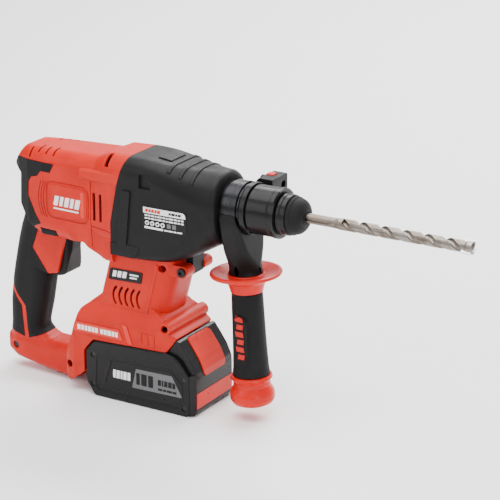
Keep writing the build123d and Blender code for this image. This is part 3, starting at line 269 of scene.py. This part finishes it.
# ---- pieces laid on the surface ------------------------------------------------------------
def tree_of(*nodes):
    """Search tree over the CAD nodes that a mark is laid on."""
    points, faces = [], []
    for name in nodes:
        mesh = NODES[name].data
        base = len(points)
        points.extend(v.co.copy() for v in mesh.vertices)
        faces.extend([base + i for i in p.vertices] for p in mesh.polygons)
    return BVHTree.FromPolygons(points, faces)


def new_object(name, mesh_data, key, body):
    """Turns a bmesh into a dressed piece that rides on a body."""
    mesh = bpy.data.meshes.new(name)
    mesh_data.to_mesh(mesh)
    mesh_data.free()
    obj = bpy.data.objects.new(name, mesh)
    bpy.context.scene.collection.objects.link(obj)
    dress(obj, key)
    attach(obj, body)
    return obj


def fine_polygon(bm, outline):
    """Adds a polygon in X and Z at Y = 0, cut into small triangles."""
    loop = [Vector((x, 0, z)) for x, z in outline]
    verts = [bm.verts.new(p) for p in loop]
    faces = [bm.faces.new([verts[i] for i in tri]) for tri in tessellate_polygon([loop])]
    for _ in range(7):
        edges = {e for f in faces for e in f.edges if e.calc_length() > GRID}
        if not edges:
            break
        bmesh.ops.subdivide_edges(bm, edges=list(edges), cuts=1)
        bmesh.ops.triangulate(bm, faces=[f for f in bm.faces if len(f.verts) > 3])
        faces = list(bm.faces)


def marks(name, outlines, surface, key, body, side=RIGHT, thick=0.25 * MM, lift=PRINT_LIFT):
    """Thin marks in the shape of the outlines (X and Z), laid on one side of the surface."""
    bm = bmesh.new()
    for outline in outlines:
        part = bmesh.new()
        fine_polygon(part, outline)
        for vert in part.verts:
            start = Vector((vert.co.x, side * CAST_FROM, vert.co.z))
            hit = surface.ray_cast(start, Vector((0, -side, 0)), CAST_REACH)
            vert.co.y = (hit[0].y if hit[0] else side * MISSED_Y) + side * lift
        shape = bpy.data.meshes.new("part")
        part.to_mesh(shape)
        part.free()
        bm.from_mesh(shape)
        bpy.data.meshes.remove(shape)
    top = bm.faces[:]
    grown = bmesh.ops.extrude_face_region(bm, geom=top)
    moved = [v for v in grown["geom"] if isinstance(v, bmesh.types.BMVert)]
    bmesh.ops.translate(bm, verts=moved, vec=Vector((0, side * thick, 0)))
    bmesh.ops.recalc_face_normals(bm, faces=bm.faces[:])
    return new_object(name, bm, key, body)


def bar(x0, x1, z0, z1, slant=0.0, slope=0.0):
    """Bar between x0 and x1 and z0 and z1, in millimetres, its top moved by slant."""
    rise = slope * (x1 - x0)
    points = [(x0, z0), (x1, z0 + rise), (x1 + slant, z1 + rise), (x0 + slant, z1)]
    return polygon(*points)


def polygon(*points):
    """Outline through points in X and Z, in millimetres."""
    return [(x * MM, z * MM) for x, z in points]


def disc(x, z, radius, count=20):
    """Round mark, in millimetres."""
    turn = [2 * math.pi * n / count for n in range(count)]
    return [((x + radius * math.cos(a)) * MM, (z + radius * math.sin(a)) * MM) for a in turn]


def glyph_row(x0, z0, widths, height, gap, slant=0.0, slope=0.0):
    """Row of plain blocks that stands where a line of words would be."""
    row, x = [], x0
    for width in widths:
        if width > 0:
            row.append(bar(x, x + width, z0 + slope * (x - x0), z0 + height + slope * (x - x0), slant, slope))
        x += abs(width) + gap
    return row


def badge_marks():
    """White emblem on the badge field: slanted blocks over a thin bar."""
    shell = tree_of("housing_right_shell")
    rows = glyph_row(-103.5, 195.4, [5.2, 4.0, 5.2, 4.0, 5.6], 10.0, 2.0, slant=2.4)
    rows += glyph_row(-103.5, 191.4, [31.5], 1.6, 2.0, slant=0.4)
    marks("badge_emblem", rows, shell, "print_white", "tool_body")
    # Pale pink strip along the badge panel's right edge: a painted highlight where the edge's bevel catches
    # the light, not print.
    stripe = [bar(-69.2, -65.0, 187.5, 214.0)]
    marks("badge_edge_highlight", stripe, shell, "print_pink", "tool_body")


def foot_marks():
    """Paler bar on the foot with a row of blocks, the slanted stripe and three raised ribs."""
    shell = tree_of("housing_right_shell")
    field = [polygon((-79.2, 67.2), (-18.0, 67.2), (-22.9, 77.3), (-74.8, 77.3))]
    marks("foot_bar_field", field, shell, "print_pink", "tool_body")
    blocks = glyph_row(-73.0, 69.6, [3.4, 3.6, 3.0, 3.8, 3.0, 3.2, -1.0, 3.4, 3.6, 4.2, 3.0, 3.0], 5.2, 1.0)
    marks("foot_bar_blocks", blocks, shell, "print_white", "tool_body", lift=0.4 * MM)
    stripe = [polygon((-11.6, 64.8), (-6.6, 64.8), (-13.4, 83.8), (-18.4, 83.8))]
    marks("foot_stripe", stripe, shell, "print_pink", "tool_body")
    ribs = glyph_row(2.0, 68.0, [3.0, 5.0, 5.0], 11.0, 2.6, slant=-0.8)
    marks("foot_ribs", ribs, shell, "housing_red", "tool_body", thick=0.5 * MM)


def neck_marks():
    """White emblem on the black neck plate."""
    plate = tree_of("side_labels")
    rows = glyph_row(-34.0, 131.3, [4.2, 4.4, 4.6], 6.6, 1.6, slant=1.6, slope=0.03)
    rows += [bar(-13.0, -2.5, 135.6, 137.2, 0.2, 0.03), bar(-13.0, -4.5, 132.4, 134.0, 0.2, 0.03)]
    marks("neck_plate_marks", rows, plate, "print_white", "tool_body")


def rating_marks():
    """Print on the rating label: white head band, rows of specks, round and square symbols, a bar."""
    label = tree_of("side_labels")
    white = [polygon((9.2, 207.6), (57.2, 207.6), (57.2, 210.4), (55.8, 212.6), (53.6, 213.4), (9.2, 213.4))]
    for z in (204.6, 201.6):
        white += glyph_row(11.0, z, [3.2, 2.2, 4.0, 1.6, 5.0, 3.0, 2.2, 5.2, 3.4, 2.6, 3.0], 1.5, 0.9)
    white += [disc(13.6 + 6.0 * n, 197.6, 2.35) for n in range(4)]
    white.append(bar(10.6, 32.0, 191.9, 193.9))
    white += glyph_row(33.5, 192.2, [4.0, 5.0, 3.0, 5.6], 1.3, 0.8)
    marks("rating_label_print", white, label, "print_white", "tool_body")
    grey = [bar(36.6, 40.8, 195.4, 199.8), bar(42.6, 46.8, 195.4, 199.8)]
    marks("rating_label_symbols", grey, label, "label_grey", "tool_body")
    inner = [disc(13.6 + 6.0 * n, 197.6, 1.1, 12) for n in range(4)]
    inner += glyph_row(38.6, 209.4, [2.6, 3.6, 2.0, 3.4], 2.2, 0.7, slant=0.5)
    marks("rating_label_dark_print", inner, label, "print_black", "tool_body", lift=0.42 * MM)
    red = glyph_row(11.4, 208.9, [3.0, 2.4, 3.0, 2.4, 3.2], 3.2, 0.8, slant=0.8)
    marks("rating_label_red_print", red, label, "print_red", "tool_body", lift=0.42 * MM)


def battery_marks():
    """Print on the battery: bars on the grey field, white blocks beside it and a raised ridge."""
    plate = tree_of("battery_label")
    dark = glyph_row(-1.5, 23.6, [4.0, 6.4, 5.6], 12.4, 2.0)
    dark += glyph_row(24.5, 28.0, [3.6, 1.6, 3.6, 3.8, 3.2], 6.0, 1.2)
    dark += glyph_row(24.5, 22.6, [5.0, 3.4, 6.2, 4.4], 2.2, 1.0)
    marks("battery_label_print", dark, plate, "print_black", "battery")
    cover = tree_of("battery_side_right")
    white = glyph_row(-30.0, 25.4, [3.0, 3.8, 2.4, 3.8, 3.4], 8.6, 1.1, slant=0.3)
    marks("battery_white_print", white, cover, "print_white", "battery")
    ridge = [polygon((-34.2, 41.5), (-31.8, 41.5), (-39.8, 17), (-42.2, 17))]
    marks("battery_side_ridge", ridge, cover, "battery_black", "battery", thick=0.5 * MM)


def grip_marks():
    """Red emblem let into the raised pad of the side grip."""
    pad = tree_of("side_grip_rubber")
    lean = math.tan(math.radians(3.4))
    rows = []
    for number in range(6):
        z = 107.5 - 7.8 * number
        x = 100 + (AXIS_Z / MM - z) * lean
        wide = 3.6 if number % 2 else 4.4
        rows.append(bar(x - wide, x + wide, z - 2.6, z + 2.6, slant=0.9 if number % 2 else -0.9))
    marks("side_grip_emblem", rows, pad, "print_red", "side_grip", thick=0.3 * MM)


# ---- stage, camera and lights -----------------------------------------------------------------
def stage():
    """Pale floor that curves up into a backdrop."""
    front, flat_step, wall_step = -4.5, 0.75, 0.6
    flat_rows, bend_rows, wall_rows = 8, 10, 7
    bend, behind, half_width = 1.2, 0.6, 6
    bm = bmesh.new()
    rows = []
    for number in range(flat_rows + bend_rows + wall_rows):
        turn = math.pi / 2 * min(max((number - flat_rows) / bend_rows, 0), 1)
        run = front + flat_step * min(number, flat_rows)
        y = run + bend * math.sin(turn)
        z = bend * (1 - math.cos(turn)) + max(number - flat_rows - bend_rows, 0) * wall_step
        rows.append([bm.verts.new((x, y + behind, z)) for x in (-half_width, half_width)])
    for below, above in zip(rows, rows[1:]):
        bm.faces.new((below[0], below[1], above[1], above[0])).smooth = True
    mesh = bpy.data.meshes.new("studio_backdrop")
    bm.to_mesh(mesh)
    bm.free()
    floor = bpy.data.objects.new("studio_backdrop", mesh)
    bpy.context.scene.collection.objects.link(floor)
    mesh.materials.append(studio_floor())


def camera():
    """Long lens, from the front right and above."""
    data = bpy.data.cameras.new("camera")
    data.sensor_width = 36
    data.lens = 147.6
    data.clip_end = 50
    cam = bpy.data.objects.new("camera", data)
    cam.location = (1.0773, -1.6250, 0.8263)
    look = Vector((-0.4842, 0.8122, -0.3256))
    cam.rotation_euler = look.to_track_quat("-Z", "Y").to_euler()
    bpy.context.scene.collection.objects.link(cam)
    bpy.context.scene.camera = cam


def softbox(name, place, target, size, power):
    """Rectangular studio light that faces the target."""
    data = bpy.data.lights.new(name, "AREA")
    data.shape = "RECTANGLE"
    data.size, data.size_y = size
    data.energy = power
    lamp = bpy.data.objects.new(name, data)
    lamp.location = place
    lamp.rotation_euler = (Vector(target) - Vector(place)).to_track_quat("-Z", "Y").to_euler()
    bpy.context.scene.collection.objects.link(lamp)


def lights():
    """Even white surround, a large overhead box, a key, a front fill, a narrow glint and a backdrop box."""
    world = bpy.data.worlds.new("studio")
    bpy.context.scene.world = world
    world.use_nodes = True
    world.node_tree.nodes["Background"].inputs["Color"].default_value = (1, 1, 1, 1)
    world.node_tree.nodes["Background"].inputs["Strength"].default_value = 0.27
    middle = (0.05, 0, 0.14)
    softbox("overhead_box", (0.0, -0.2, 1.5), middle, (1.6, 1.2), 42)
    softbox("key_box", (-0.9, -1.3, 0.9), middle, (0.8, 1.0), 11)
    softbox("front_box", (1.3, -0.8, 0.7), middle, (0.7, 0.9), 9)
    softbox("glint_box", (0.5, -1.5, 0.75), middle, (0.12, 0.5), 4)
    softbox("backdrop_box", (0.0, 1.9, 2.0), (0.0, 1.5, 0.0), (3.0, 1.2), 150)


dress_frame()
badge_marks()
foot_marks()
neck_marks()
rating_marks()
battery_marks()
grip_marks()
stage()
camera()
lights()
